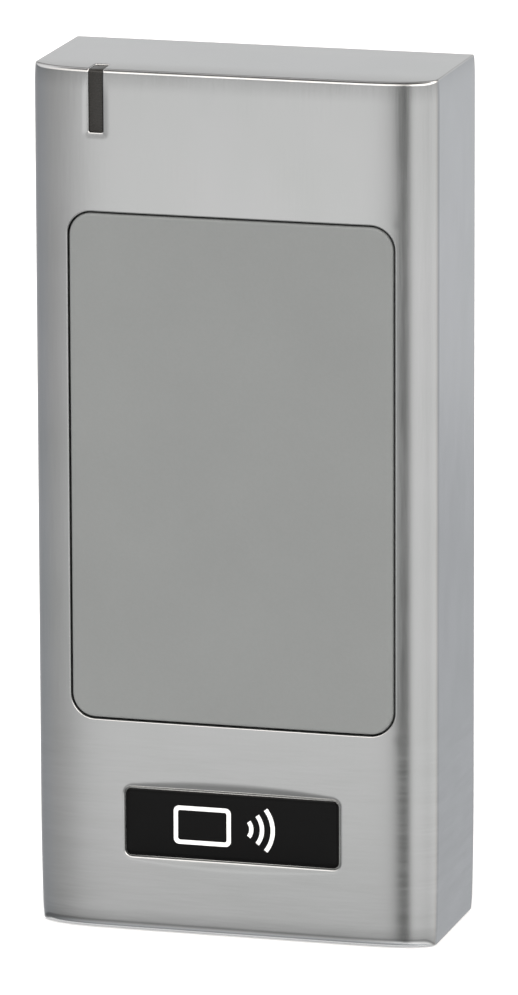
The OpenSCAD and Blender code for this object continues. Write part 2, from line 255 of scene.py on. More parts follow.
def turned(centre, axis, radius, along, angle):
    """A point at this radius and angle about an axis along X, Y or Z."""
    c, s = radius * math.cos(angle), radius * math.sin(angle)
    offset = {"x": (along, c, s), "y": (c, along, s), "z": (c, s, along)}[axis]
    return tuple(a + b for a, b in zip(centre, offset))


def inside(point, ring):
    """Whether a plane point lies inside a closed ring."""
    x, y = ring[:, 0], ring[:, 1]
    x2, y2 = np.roll(x, -1), np.roll(y, -1)
    crossing = (y > point[1]) != (y2 > point[1])
    with np.errstate(divide="ignore", invalid="ignore"):
        at = x + (point[1] - y) / (y2 - y) * (x2 - x)
    return int(np.count_nonzero(crossing & (point[0] < at)) % 2)


def add_bevel(piece, width, segments, angle=35):
    """Rounds the sharp edges and applies the result."""
    modifier = piece.modifiers.new("round", "BEVEL")
    modifier.width = width * MM
    modifier.segments = segments
    modifier.limit_method = "ANGLE"
    modifier.angle_limit = math.radians(angle)
    modifier.harden_normals = True
    bpy.context.view_layer.update()
    done = bpy.data.meshes.new_from_object(piece.evaluated_get(bpy.context.evaluated_depsgraph_get()))
    piece.modifiers.clear()
    piece.data = done


def rounded_loop(low, high, radius, grow, across, along, steps=8):
    """A rounded rectangle grown by grow, as plane points. across and along hold the extra points
    on its sides."""
    left, bottom = low[0] - grow, low[1] - grow
    right, top = high[0] + grow, high[1] + grow
    r = radius + grow

    def corner(x, y, start):
        return [(x + r * math.cos(math.radians(start + 90 * k / steps)),
                 y + r * math.sin(math.radians(start + 90 * k / steps))) for k in range(steps + 1)]

    return ([(x, bottom) for x in across] + corner(right - r, bottom + r, -90)
            + [(right, y) for y in along] + corner(right - r, top - r, 0)
            + [(x, top) for x in reversed(across)] + corner(left + r, top - r, 90)
            + [(left, y) for y in reversed(along)] + corner(left + r, bottom + r, 180))


def between(low, high, count):
    """Evenly spread places strictly between two ends."""
    return [low + (high - low) * (k + 1) / (count + 1) for k in range(count)]


# ---- The housing's outer surface ----

def unroll(x):
    """The unrolled coordinate of a place across the front."""
    if abs(x) <= FLAT:
        return x
    return math.copysign(FLAT + ROLL_STEP * math.asin(min((abs(x) - FLAT) / ROLL_W, 1)), x)


def front_depth(x):
    """How far back the front lies at this place across it: a superellipse, flat in its middle."""
    return -DEPTH + ROLL_D * (1 - math.sqrt(max(1 - min(abs(x) / HALF_W, 1) ** FRONT_POWER, 0)))


def section(u):
    """Place and outward normal on the horizontal section at the unrolled coordinate u."""
    side, far = math.copysign(1, u), abs(u)
    if far >= U_SIDE - 1e-9:
        return side * HALF_W, -DEPTH + ROLL_D + far - U_SIDE, side, 0.0
    x = far if far <= FLAT else FLAT + ROLL_W * math.sin((far - FLAT) / ROLL_STEP)
    part = x / HALF_W
    slope = ROLL_D * FRONT_POWER / 2 * part ** (FRONT_POWER - 1) / HALF_W / math.sqrt(1 - part ** FRONT_POWER)
    size = math.hypot(slope, 1)
    return side * x, front_depth(x), side * slope / size, -1 / size


def lip(u, v):
    """The edge radius, which shrinks from the front round to the sides."""
    front = LIP if v > 0 else BOTTOM_LIP
    turn = min(max((abs(u) - FLAT) / (U_SIDE - FLAT) - LIP_HOLD, 0) / (1 - LIP_HOLD), 1)
    return front + (SIDE_LIP - front) * turn * turn * (3 - 2 * turn)


def fall(distance, reach, drop):
    """A parabola that starts at reach and falls by drop at distance 0."""
    return drop * max(1 - max(distance, 0) / reach, 0) ** 2


def dish(x, z):
    """Depth of the hand-polished hollow around the nameplate."""
    middle = (PLATE_LOW.z + PLATE_HIGH.z) / 2
    half_w, half_h = PLATE_HIGH.x - PLATE_R, (PLATE_HIGH.z - PLATE_LOW.z) / 2 - PLATE_R
    away = math.hypot(max(abs(x) - half_w, 0), max(abs(z - middle) - half_h, 0)) - PLATE_R
    bow = 1 - DISH_BOW * min(abs(x) / (half_w + DISH_END), 1) ** 2
    t = away / (DISH_REACH * bow)
    if t >= 1:
        return 0.0
    return DISH_DEEP * bow * (1 - max(t, 0)) ** 2


def slot_dish(x, z):
    """Depth of the hollow polished beside and below the light bar's slot, fading out at the top."""
    away = math.hypot(max(LIGHT_SPAN[0] - x, x - LIGHT_SPAN[1], 0), max(TOP - LIGHT_DOWN - z, 0))
    fade = min(max((TOP - z) / SLOT_FADE, 0), 1)
    return fall(away, SLOT_REACH, SLOT_DISH) * fade * fade * (3 - 2 * fade)


def outer(u, v, depth=0.0):
    """Point of the outer surface at unrolled coordinates u and v, or that far below it."""
    x, y, nx, ny = section(u)
    side, far = math.copysign(1, v), abs(v)
    radius = lip(u, v)
    turn = min(max(far - V_FLAT, 0) / LIP, math.pi / 2)
    stretch = min(max(far - V_SOFT, 0) / (V_FLAT - V_SOFT), 1)
    z = min(far, V_FLAT) + (LIP - radius) * stretch + radius * math.sin(turn)
    inset = radius * (1 - math.cos(turn)) + max(far - V_END, 0)
    inset += fall(TOP - z, SOFT_REACH, SOFT_DROP)
    if v < 0:
        inset += fall(TOP - z, BOTTOM_REACH, BOTTOM_DROP)
    if abs(u) < HOLLOWS:
        inset += dish(x, side * z) + slot_dish(x, side * z)
    inset += depth * math.cos(turn)
    x, y = x - nx * inset, y - ny * inset
    z -= math.sin(turn) * (depth + fall(y + DEPTH, TOP_REACH, TOP_DROP))
    return x, y, side * z


def outer_normal(u, v):
    """Outward normal of the outer surface, from four points close around."""
    step = 0.02
    a, b = Vector(outer(u - step, v)), Vector(outer(u + step, v))
    c, d = Vector(outer(u, v - step)), Vector(outer(u, v + step))
    return (b - a).cross(d - c).normalized()


def rim_loops(shell, ring, radius, steps=5):
    """Rounds an opening's edge. ring(grow) gives its outline in unrolled coordinates.
    Returns the outermost row's plane coordinates, that row and the row at the rounding's foot."""
    rows = []
    for k in range(steps + 1):
        a = math.pi / 2 * k / steps
        line = ring(radius * (1 - math.sin(a)))
        rows.append(shell.add(outer(u, v, radius * (1 - math.cos(a))) for u, v in line))
        if k:
            shell.band(rows[-2], rows[-1])
        else:
            flat = dict(zip(rows[0], line))
            shell.normals.update({i: outer_normal(*p) for i, p in flat.items()})
    return flat, rows[0], rows[-1]


def window_loop(low, high, radius, grow):
    """A loop around the window whose points lie in line with the housing's rows."""
    across = between(WINDOW_LOW[0] + WINDOW_R, WINDOW_HIGH[0] - WINDOW_R, 15)
    first, last = WINDOW_LOW[1] + WINDOW_R + 0.5, WINDOW_HIGH[1] - WINDOW_R - 0.5
    along = [v for v in MAIN_ROWS if first < v < last]
    return rounded_loop(low, high, radius, grow, across, along, 12)


def window_ring(grow):
    return [(unroll(x), z) for x, z in window_loop(WINDOW_LOW, WINDOW_HIGH, WINDOW_R, grow)]


def plate_ring(grow):
    low = (PLATE_LOW.x - PLATE_GAP, PLATE_LOW.z - PLATE_GAP)
    high = (PLATE_HIGH.x + PLATE_GAP, PLATE_HIGH.z + PLATE_GAP)
    across = between(low[0] + PLATE_R, high[0] - PLATE_R, 47)
    along = between(low[1] + PLATE_R, high[1] - PLATE_R, 13)
    return rounded_loop(low, high, PLATE_R, grow, across, along, 8)


FILLET_ROWS = [V_FLAT + LIP * math.pi / 2 * k / 10 for k in range(11)]
SOFT_ROWS = [V_SOFT + (V_FLAT - V_SOFT) * k / 8 for k in range(8)]
LIGHT_V = (TOP - LIGHT_DOWN, V_END + LIGHT_BACK - LIP - SOFT_DROP)
MAIN_ROWS = [(TOP - SOFT_REACH) * k / 24 for k in range(-24, 25)]


def light_ring(grow, gap=LIGHT_GAP, radius=0.25):
    low, high = (LIGHT_SPAN[0] - gap, LIGHT_V[0] - gap), (LIGHT_SPAN[1] + gap, LIGHT_V[1] + gap)
    margin = 0.5
    across = between(low[0] + margin, high[0] - margin, 2)
    along = between(low[1] + margin, SOFT_ROWS[0], 4) + SOFT_ROWS + FILLET_ROWS
    along += between(V_END, high[1] - margin, 2)
    return rounded_loop(low, high, radius, grow, across, along, 4)


def mark_rows(ring):
    """Where a ring that wraps over the top edge crosses it: first on the right side, then on the left."""
    return [k for k, p in enumerate(ring) if abs(p[1] - V_END) < 1e-9]


def housing_shell(material):
    shell = Shell()
    flat, window_edge, window_foot = rim_loops(shell, window_ring, WINDOW_RIM)
    more, plate_edge, plate_foot = rim_loops(shell, plate_ring, PLATE_RIM)
    flat.update(more)
    more, slot_edge, slot_foot = rim_loops(shell, light_ring, SLOT_RIM)
    flat.update(more)
    right, left = mark_rows(light_ring(SLOT_RIM))
    slot_front = slot_edge[left:] + slot_edge[:right + 1]
    slot_top = slot_edge[right:left + 1]

    half_columns = [FLAT * k / 10 for k in range(11)]
    half_columns += [FLAT + (U_SIDE - FLAT) * k / 26 for k in range(27)]
    half_columns += [U_SIDE + (U_END - U_SIDE) * k / 5 for k in range(6)]
    columns = sorted({round(side * u, 6) for side in (-1, 1) for u in half_columns})
    near_top = SOFT_ROWS + FILLET_ROWS
    rows = sorted({round(v, 6) for v in MAIN_ROWS + near_top + [-v for v in near_top]})

    def edge(points):
        ids = shell.add(outer(u, v) for u, v in points)
        flat.update(zip(ids, points))
        shell.normals.update({i: outer_normal(*p) for i, p in zip(ids, points)})
        return ids

    bottom = edge([(u, -V_END) for u in columns])
    right_side = edge([(U_END, v) for v in rows[1:-1]])
    left_side = edge([(-U_END, v) for v in rows[1:-1]])
    slot_left, slot_right = LIGHT_SPAN[0] - LIGHT_GAP - SLOT_RIM, LIGHT_SPAN[1] + LIGHT_GAP + SLOT_RIM
    top_left = edge([(u, V_END) for u in columns if u < slot_left - 0.2])
    top_right = edge([(u, V_END) for u in columns if u > slot_right + 0.2])
    boundary = (bottom + right_side + top_right[::-1] + slot_front[::-1] + top_left[::-1]
                + left_side[::-1])

    def clear(u, v):
        def off(low, high, margin):
            beside = u < low[0] - margin or u > high[0] + margin
            return beside or v < low[1] - margin or v > high[1] + margin
        window = (unroll(WINDOW_LOW[0]), WINDOW_LOW[1]), (unroll(WINDOW_HIGH[0]), WINDOW_HIGH[1])
        plate = (PLATE_LOW.x, PLATE_LOW.z), (PLATE_HIGH.x, PLATE_HIGH.z)
        slot = (LIGHT_SPAN[0], LIGHT_V[0]), (LIGHT_SPAN[1], V_END)
        return off(*window, 1.5) and off(*plate, 2.6) and off(*slot, 1.9)

    inner = [(u, v) for u in columns[1:-1] for v in rows[1:-1] if clear(u, v)]
    inner += [p for k in range(1, 4) for p in window_ring(WINDOW_RIM + 0.32 * k)]
    inner += [p for k in range(1, 9) for p in plate_ring(PLATE_RIM + 0.27 * k)]
    inner += [p for k in range(1, 9) for p in light_ring(SLOT_RIM + 0.2 * k) if p[1] < V_END - 0.05]
    first = len(shell.points)
    shell.fill([boundary, window_edge, plate_edge], flat, inner, outer)
    shell.normals.update({first + k: outer_normal(*p) for k, p in enumerate(inner)})

    # the top face, with the slot's end cut into it
    def top_point(x, y):
        return x, y, TOP - fall(y + DEPTH, TOP_REACH, TOP_DROP)

    def top_normal(x, y):
        away = max(TOP_REACH - y - DEPTH, 0)
        return Vector((0, -2 * TOP_DROP * away / TOP_REACH ** 2, 1)).normalized()

    top_loop = top_left + slot_top[::-1] + top_right
    spread = [(x, -DEPTH + y) for x in between(-HALF_W + 1, HALF_W - 1, 40)
              for y in [0.9 + 0.55 * k for k in range(13)] + [10, 14, 18, 22]
              if -DEPTH + y > front_depth(x) + LIP + 0.9
              and not (slot_left - 0.4 < x < slot_right + 0.4 and y < LIGHT_BACK + 1)]
    first = len(shell.points)
    shell.fill([top_loop], {i: shell.points[i][:2] for i in top_loop}, spread, top_point)
    shell.normals.update({first + k: top_normal(*p) for k, p in enumerate(spread)})
    shell.normals.update({i: top_normal(*shell.points[i][:2]) for i in slot_top})

    # the nameplate's recess and the light bar's groove
    for foot, ring, deep in ((plate_foot, plate_ring(0), 0.9), (slot_foot, light_ring(0), SLOT_DEEP)):
        floor = shell.add(outer(u, v, deep) for u, v in ring)
        shell.band(foot, floor)
        shell.fill([floor], dict(zip(floor, ring)))

    # the window's wall, down to the inner face
    window_back = shell.add((outer(u, v)[0], INNER_Y, v) for u, v in window_ring(0))
    shell.band(window_foot, window_back)

    # the hollow: its front, its four sides and the lock screw's boss
    corners = [(-INNER_X, -INNER_TOP), (INNER_X, -INNER_TOP),
               (INNER_X, INNER_TOP), (-INNER_X, INNER_TOP)]
    deep = shell.add((x, INNER_Y, z) for x, z in corners)
    mouth = shell.add((x, 0, z) for x, z in corners)
    front = deep + window_back
    shell.fill([deep, window_back], {i: (shell.points[i][0], shell.points[i][2]) for i in front})
    shell.faces += [(deep[k], deep[(k + 1) % 4], mouth[(k + 1) % 4], mouth[k]) for k in (1, 2, 3)]
    boss_rows = lock_boss(shell)
    floor_loop = [deep[0], deep[1], mouth[1], mouth[0]]
    around = {i: shell.points[i][:2] for i in floor_loop + boss_rows[0] + boss_rows[1]}
    shell.fill([floor_loop, boss_rows[1]], around)
    around.update({i: shell.points[i][:2] for i in bottom})
    shell.fill([bottom, boss_rows[0]], around)

    # the rim that meets the wall
    shell.faces.append(tuple(bottom[-1:] + right_side + top_right[-1:] + [mouth[2], mouth[1]]))
    shell.faces.append(tuple(bottom[:1] + left_side + top_left[:1] + [mouth[3], mouth[0]]))
    shell.faces.append((bottom[0], bottom[-1], mouth[1], mouth[0]))
    shell.faces.append((top_left[0], top_right[-1], mouth[2], mouth[3]))
    for i in bottom[:1] + bottom[-1:] + right_side + left_side + top_left[:1] + top_right[-1:]:
        shell.normals.pop(i, None)
    housing_inside(shell)
    return shell.build("housing_shell", material)


def lock_boss(shell, steps=40):
    """Bore and boss for the lock screw. Returns its rows in the outer and in the inner face of the
    bottom wall."""
    low, high = size_box("lock_insert")
    y, r_insert = (low.y + high.y) / 2, (high.x - low.x) / 2
    outline = [(2.5, -TOP), (2.1, -TOP + 0.4), (2.1, low.z), (r_insert, low.z), (r_insert, high.z - 0.2),
               (r_insert + 0.2, high.z), (3.9, high.z), (4.2, high.z - 0.3), (4.2, -INNER_TOP)]
    rows = [shell.add(turned((0, y, 0), "z", r, z, 2 * math.pi * k / steps) for k in range(steps))
            for r, z in outline]
    for a, b in zip(rows, rows[1:]):
        shell.band(a, b)
    return rows[0], rows[-1]


def housing_inside(shell):
    """Posts, catches and shelves, each a closed form that stands on the inner wall."""
    board_back = size_box("main_board")[0].y
    ledge = size_box("cover_seal")[0].y
    for posts, foot, end in ((BOARD_POSTS, INNER_Y - 0.4, board_back), (COVER_POSTS, INNER_Y - 0.3, ledge)):
        for x, z in posts:
            outline = [(POST_R, foot), (POST_R, end), (POST_BORE, end), (POST_BORE, foot)]
            shell.lathe((x, 0, z), "y", outline)
    for x in (-15, 15):
        shell.block((x - 6, -3.2, 65.5), (x + 6, -1.8, INNER_TOP + SUNK_IN))
    low, high = size_box("cover_seal")
    left, right = low.x + SHELF_LAP, high.x - SHELF_LAP
    front, wall = ledge - SHELF_THICK, INNER_X + SUNK_IN
    shell.block((-wall, INNER_Y - 0.3, SHELF_FOOT - 1.6), (wall, ledge, SHELF_FOOT))
    shell.block((-wall, front, SHELF_FOOT - 0.2), (left, ledge, INNER_TOP + 0.3))
    shell.block((right, front, SHELF_FOOT - 0.2), (wall, ledge, INNER_TOP + 0.3))
    shell.block((left, front, high.z - SHELF_LAP), (right, ledge, INNER_TOP + SUNK_IN))
    shell.block((left, front, SHELF_FOOT - 0.4), (right, ledge, low.z + SHELF_LAP))


# ---- Pieces that fill the housing's openings ----

def capped_ring(shell, ring, radius, sunk=0.0, steps=5):
    """Rounds a pad's edge up to the outer surface, or to sunk below it. Returns its first and last
    row, each with its plane coordinates."""
    rows = []
    for k in range(steps + 1):
        a = math.pi / 2 * k / steps
        line = ring(-radius * (1 - math.cos(a)))
        rows.append((shell.add(outer(u, v, sunk + radius * (1 - math.sin(a))) for u, v in line), line))
    for (a, _), (b, _) in zip(rows, rows[1:]):
        shell.band(a, b)
    return rows[0], rows[-1]


def window_face(material):
    """The window panel: its flush face, its neck through the housing and its flange behind."""
    shell = Shell()

    def ring(grow):
        return window_ring(grow - WINDOW_GAP)

    (edge, _), (top, top_line) = capped_ring(shell, ring, WINDOW_EDGE)
    flat = dict(zip(top, top_line))
    shell.normals.update({i: outer_normal(*p) for i, p in flat.items()})
    low, high = WINDOW_LOW, WINDOW_HIGH
    middle, half_h = (low[1] + high[1]) / 2, (high[1] - low[1]) / 2

    def clear(x, z):
        past_x = max(abs(x) - high[0] + WINDOW_R, 0)
        past_z = max(abs(z - middle) - half_h + WINDOW_R, 0)
        return math.hypot(past_x, past_z) < WINDOW_R - 1.2

    inner = [(unroll(x), z) for x in between(low[0] + 1, high[0] - 1, 25)
             for z in between(low[1] + 1, high[1] - 1, 21) if clear(x, z)]
    first = len(shell.points)
    shell.fill([top], flat, inner, outer)
    shell.normals.update({first + k: outer_normal(*p) for k, p in enumerate(inner)})
    panel_low, panel_high = size_box("window_panel")
    flange = GASKET_HIGH.y
    neck = shell.add((shell.points[i][0], flange, shell.points[i][2]) for i in edge)
    shell.band(edge, neck)

    def flange_row(y):
        line = window_loop((panel_low.x, panel_low.z), (panel_high.x, panel_high.z), FLANGE_R, 0)
        return shell.add((x, y, z) for x, z in line)

    front, back = flange_row(flange), flange_row(panel_high.y)
    shell.band(neck, front)
    shell.band(front, back)
    shell.fill([back], {i: (shell.points[i][0], shell.points[i][2]) for i in back})
    return shell.build("window_face", material)


def antenna_winding(material):
    """The antenna's turns of enamelled wire, side by side in the former's groove."""
    shell = Shell()
    low, high = size_box("antenna_coil")
    wire = (high.y - low.y) / COIL_TURNS
    outline = [(-COIL_BAND, high.y), (-COIL_BAND, low.y)]
    for turn in range(COIL_TURNS):
        for step in range(6):
            a = math.pi * (step + 0.5) / 6
            outline.append((wire / 2 * (math.sin(a) - 1), low.y + wire * (turn + 0.5 - math.cos(a) / 2)))
    rows = []
    for grow, y in outline:
        line = rounded_loop((low.x, low.z), (high.x, high.z), COIL_R, grow, [], [], 8)
        rows.append(shell.add((x, y, z) for x, z in line))
    for a, b in zip(rows, rows[1:] + rows[:1]):
        shell.band(a, b)
    return shell.build("antenna_winding", material, crease=60)


def coil_spring(material):
    """The tamper plunger's spring: round wire, with its end turns laid closer together."""
    shell = Shell()
    low, high = size_box("tamper_spring")
    x, z = (low.x + high.x) / 2, (low.z + high.z) / 2
    mean = (high.x - low.x) / 2 - SPRING_WIRE
    sides, steps = 10, SPRING_TURNS * 28
    rings = []
    for i in range(steps + 1):
        part = i / steps
        rise = part - SPRING_CLOSE * math.sin(2 * math.pi * part)
        y = low.y + SPRING_WIRE + (high.y - low.y - 2 * SPRING_WIRE) * rise
        turn = 2 * math.pi * SPRING_TURNS * part
        rings.append(shell.add(
            (x + (mean + SPRING_WIRE * math.cos(a)) * math.cos(turn), y + SPRING_WIRE * math.sin(a),
             z + (mean + SPRING_WIRE * math.cos(a)) * math.sin(turn))
            for a in (2 * math.pi * k / sides for k in range(sides))))
    for a, b in zip(rings, rings[1:]):
        shell.band(a, b)
    shell.faces += [tuple(rings[0]), tuple(rings[-1])]
    return shell.build("coil_spring", material, crease=60)


def plate_rows(shell, steps):
    """Rows of the nameplate's outline, each moved in by grow and set at the depth y."""
    rows = []
    for grow, y in steps:
        line = plate_ring(grow - PLATE_GAP)
        rows.append((shell.add((x, y, z) for x, z in line), line))
    for (a, _), (b, _) in zip(rows, rows[1:]):
        shell.band(a, b)
    return rows


def nameplate_rim(material):
    """The plate's bright cut edge: a bevel round the black face, down to the recess floor."""
    shell = Shell()
    front, back = PLATE_LOW.y, PLATE_HIGH.y
    rows = plate_rows(shell, [(0, back), (0, front + 0.3), (-0.1, front + 0.14),
                              (-PLATE_EDGE + 0.03, front + 0.06), (-PLATE_EDGE, front + 0.12),
                              (-PLATE_EDGE, back)])
    shell.band(rows[-1][0], rows[0][0])
    return shell.build("nameplate_rim", material, crease=30)


def nameplate_face(material):
    """The plate's black glossy face, very slightly domed at its border."""
    shell = Shell()
    front, back = PLATE_LOW.y, PLATE_HIGH.y
    inner = -PLATE_EDGE - 0.01
    rows = plate_rows(shell, [(inner, back), (inner, front + 0.12), (inner - 0.04, front + 0.08),
                              (inner - 0.4, front + 0.03), (inner - 0.8, front)])
    for ids, line in (rows[0], rows[-1]):
        shell.fill([ids], dict(zip(ids, line)))
    return shell.build("nameplate_face", material, crease=50)


def light_bar(material):
    """The smoked bar in its groove, over the top edge, with its root and foot behind the wall."""
    shell = Shell()

    def ring(grow):
        return light_ring(grow, gap=0)

    (edge, edge_line), (top, top_line) = capped_ring(shell, ring, 0.1, LIGHT_SUNK, 3)
    shell.fill([top], dict(zip(top, top_line)))
    under = shell.add(outer(u, v, SLOT_DEEP - 0.02) for u, v in edge_line)
    shell.band(edge, under)
    shell.fill([under], dict(zip(under, edge_line)))
    x = (LIGHT_SPAN[0] + LIGHT_SPAN[1]) / 2
    half = (LIGHT_SPAN[1] - LIGHT_SPAN[0]) / 2
    shell.block((x - half * 0.8, -DEPTH + SLOT_DEEP - 0.1, TOP - LIGHT_DOWN + 0.6),
                (x + half * 0.8, INNER_Y + 0.2, INNER_TOP - 0.6))
    shell.block((LIGHT_LOW.x, INNER_Y + 0.05, LIGHT_LOW.z), (LIGHT_HIGH.x, INNER_Y + 1.2, INNER_TOP - 0.1))
    shell.block((x - half, INNER_Y + 1, LIGHT_LOW.z + 1), (x + half, LIGHT_HIGH.y, LIGHT_LOW.z + 3.5))
    return shell.build("light_bar", material, crease=50)


# ---- Inner and rear pieces: their CAD shapes with eased edges ----

EASED = {                      # width of the eased edges, in millimetres
    "wall_plate": 0.22, "back_cover": 0.3, "cable_grommet": 0.3, "coil_former": 0.15,
    "main_board": 0.08, "board_screws": 0.12, "cover_screws": 0.15, "lock_screw": 0.15,
    "lock_insert": 0.1, "tamper_plunger": 0.25, "tamper_switch": 0.2, "buzzer": 0.3,
    "led_shroud": 0.12, "status_leds": 0.2, "cable_connector": 0.15, "connector_pins": 0.08,
    "microcontroller": 0.06, "rf_chip": 0.06, "voltage_regulator": 0.06, "crystal": 0.3,
    "electrolytic_capacitors": 0.3, "smd_passives": 0.05,
}


def eased(node_name, width, material):
    """A new piece in the shape of a CAD node, its sharp edges rounded over."""
    cad = frame["nodes"][node_name]
    mesh = bpy.data.meshes.new(node_name + "_eased")
    bm = bmesh.new()
    bm.from_mesh(cad.data)
    bmesh.ops.remove_doubles(bm, verts=bm.verts, dist=1e-6)
    bmesh.ops.dissolve_limit(bm, angle_limit=math.radians(0.5), verts=bm.verts, edges=bm.edges)
    bm.to_mesh(mesh)
    bm.free()
    if "custom_normal" in mesh.attributes:
        mesh.attributes.remove(mesh.attributes["custom_normal"])
    for polygon in mesh.polygons:
        polygon.use_smooth = True
    mesh.materials.append(material)
    piece = bpy.data.objects.new(node_name + "_eased", mesh)
    bpy.context.scene.collection.objects.link(piece)
    piece.matrix_world = cad.matrix_world.copy()
    add_bevel(piece, width, 2, 40)
    return piece


# ---- Materials ----

def new_material(name):
    material = bpy.data.materials.new(name)
    material.use_nodes = True
    tree = material.node_tree
    return material, tree, tree.nodes["Principled BSDF"]


def node(tree, kind, settings=None, **inputs):
    made = tree.nodes.new(kind)
    for key, value in (settings or {}).items():
        setattr(made, key, value)
    for key, value in inputs.items():
        socket = made.inputs[int(key[1:])] if key[1:].isdigit() else made.inputs[key.replace("_", " ")]
        if isinstance(value, bpy.types.NodeSocket):
            tree.links.new(value, socket)
        else:
            socket.default_value = value
    return made


def place(tree, scale):
    """Object coordinates, stretched by scale, in repeats per metre."""
    where = tree.nodes.new("ShaderNodeTexCoord")
    return node(tree, "ShaderNodeMapping", {}, Vector=where.outputs["Object"], Scale=scale).outputs["Vector"]


def noise(tree, scale, detail=3.0, rough=0.55, size=1.0):
    return node(tree, "ShaderNodeTexNoise", {}, Vector=place(tree, scale), Scale=size, Detail=detail,
                Roughness=rough).outputs["Fac"]


def span(tree, value, low, high, from_low=0.3, from_high=0.7):
    """Maps a noise value onto a range."""
    return node(tree, "ShaderNodeMapRange", {}, Value=value, From_Min=from_low, From_Max=from_high,
                To_Min=low, To_Max=high).outputs["Result"]


def blend_colours(tree, fac, a, b, kind="MIX"):
    made = tree.nodes.new("ShaderNodeMix")
    made.data_type = "RGBA"
    made.blend_type = kind
    for socket, value in zip((made.inputs[0], made.inputs[6], made.inputs[7]), (fac, a, b)):
        if isinstance(value, bpy.types.NodeSocket):
            tree.links.new(value, socket)
        else:
            socket.default_value = value
    return made.outputs[2]


def bump(tree, shader, height, strength, distance):
    made = node(tree, "ShaderNodeBump", {}, Height=height, Strength=strength, Distance=distance)
    tree.links.new(made.outputs["Normal"], shader.inputs["Normal"])


def mixed(tree, a, b, fac=0.5):
    made = node(tree, "ShaderNodeMix", {"data_type": "FLOAT"}, _0=fac)
    for socket, value in zip((made.inputs[2], made.inputs[3]), (a, b)):
        tree.links.new(value, socket)
    return made.outputs[0]


CROSS_START, CROSS_FULL = -0.030, -0.044    # heights between which the brushing turns crosswise


def satin_metal(name):
    """Die-cast metal with a satin nickel finish: brushed upright, with cross polishing marks at its foot and
    a plain blasted top."""
    material, tree, shader = new_material(name)
    shader.inputs["Metallic"].default_value = 1.0
    where = tree.nodes.new("ShaderNodeTexCoord")
    height = node(tree, "ShaderNodeSeparateXYZ", {}, Vector=where.outputs["Object"]).outputs["Z"]
    facing = node(tree, "ShaderNodeSeparateXYZ", {}, Vector=where.outputs["Normal"]).outputs["Z"]
    low = node(tree, "ShaderNodeMapRange", {"interpolation_type": "SMOOTHSTEP"}, Value=height,
               From_Min=CROSS_START, From_Max=CROSS_FULL, To_Min=0.0, To_Max=1.0).outputs["Result"]
    level = node(tree, "ShaderNodeMapRange", {"interpolation_type": "SMOOTHSTEP"},
                 Value=node(tree, "ShaderNodeMath", {"operation": "ABSOLUTE"}, _0=facing).outputs[0],
                 From_Min=0.5, From_Max=0.9, To_Min=0.0, To_Max=1.0).outputs["Result"]
    upright = noise(tree, (4200, 4200, 140), 3)
    cross = noise(tree, (160, 160, 2600), 3)
    flat = noise(tree, (500, 4200, 4200), 2)
    grain = mixed(tree, mixed(tree, upright, cross, low), flat, level)
    cloud = noise(tree, (55, 55, 38), 2)
    smear = mixed(tree, noise(tree, (90, 90, 60), 2), noise(tree, (70, 70, 420), 3, 0.5), low)
    tint = blend_colours(tree, span(tree, cloud, 0, 1), (0.612, 0.620, 0.614, 1), (0.640, 0.640, 0.640, 1))
    streak = blend_colours(tree, span(tree, grain, 0, 1), (0.935, 0.935, 0.935, 1), (1.0, 1.0, 1.0, 1))
    polish = blend_colours(tree, span(tree, smear, 0, 1), (0.91, 0.91, 0.905, 1), (1.0, 1.0, 1.0, 1))
    colour = blend_colours(tree, 1.0, blend_colours(tree, 1.0, tint, streak, "MULTIPLY"), polish, "MULTIPLY")
    tree.links.new(colour, shader.inputs["Base Color"])
    tree.links.new(span(tree, mixed(tree, grain, smear), 0.18, 0.26), shader.inputs["Roughness"])
    bump(tree, shader, grain, 0.07, 0.00003)
    return material


def moulded(name, colour, roughness, grain=(4000, 4000, 4000), strength=0.15, variation=0.06, **settings):
    """Moulded plastic, rubber or ceramic with a fine surface texture."""
    material, tree, shader = new_material(name)
    for key, value in settings.items():
        shader.inputs[key.replace("_", " ")].default_value = value
    fine = noise(tree, grain, 2)
    broad = noise(tree, (60, 60, 60), 2)
    dark = tuple(c * (1 - variation) for c in colour) + (1,)
    light = tuple(min(c * (1 + variation), 1) for c in colour) + (1,)
    tree.links.new(blend_colours(tree, span(tree, mixed(tree, fine, broad), 0, 1), dark, light),
                   shader.inputs["Base Color"])
    tree.links.new(span(tree, fine, roughness - 0.04, roughness + 0.04), shader.inputs["Roughness"])
    bump(tree, shader, fine, strength, 0.00005)
    return material


def plain_metal(name, colour, roughness, grain=(500, 500, 500), strength=0.1):
    """Plated, turned or rolled metal."""
    material, tree, shader = new_material(name)
    shader.inputs["Metallic"].default_value = 1.0
    fine = noise(tree, grain, 4)
    broad = noise(tree, (45, 45, 45), 2)
    dark = tuple(c * 0.86 for c in colour) + (1,)
    tree.links.new(blend_colours(tree, span(tree, mixed(tree, fine, broad), 0, 1), dark, colour + (1,)),
                   shader.inputs["Base Color"])
    tree.links.new(span(tree, fine, roughness - 0.05, roughness + 0.07), shader.inputs["Roughness"])
    bump(tree, shader, fine, strength, 0.00003)
    return material


# ---- Stage, light and camera ----

PEAK = 3.0                     # the brightest level that the direction ramps hold
WHITE = (1, 1, 1)
COOL = (0.96, 0.985, 1.03)
WARM = (1.03, 0.985, 0.95)
GREEN = (0.985, 1.0, 0.98)

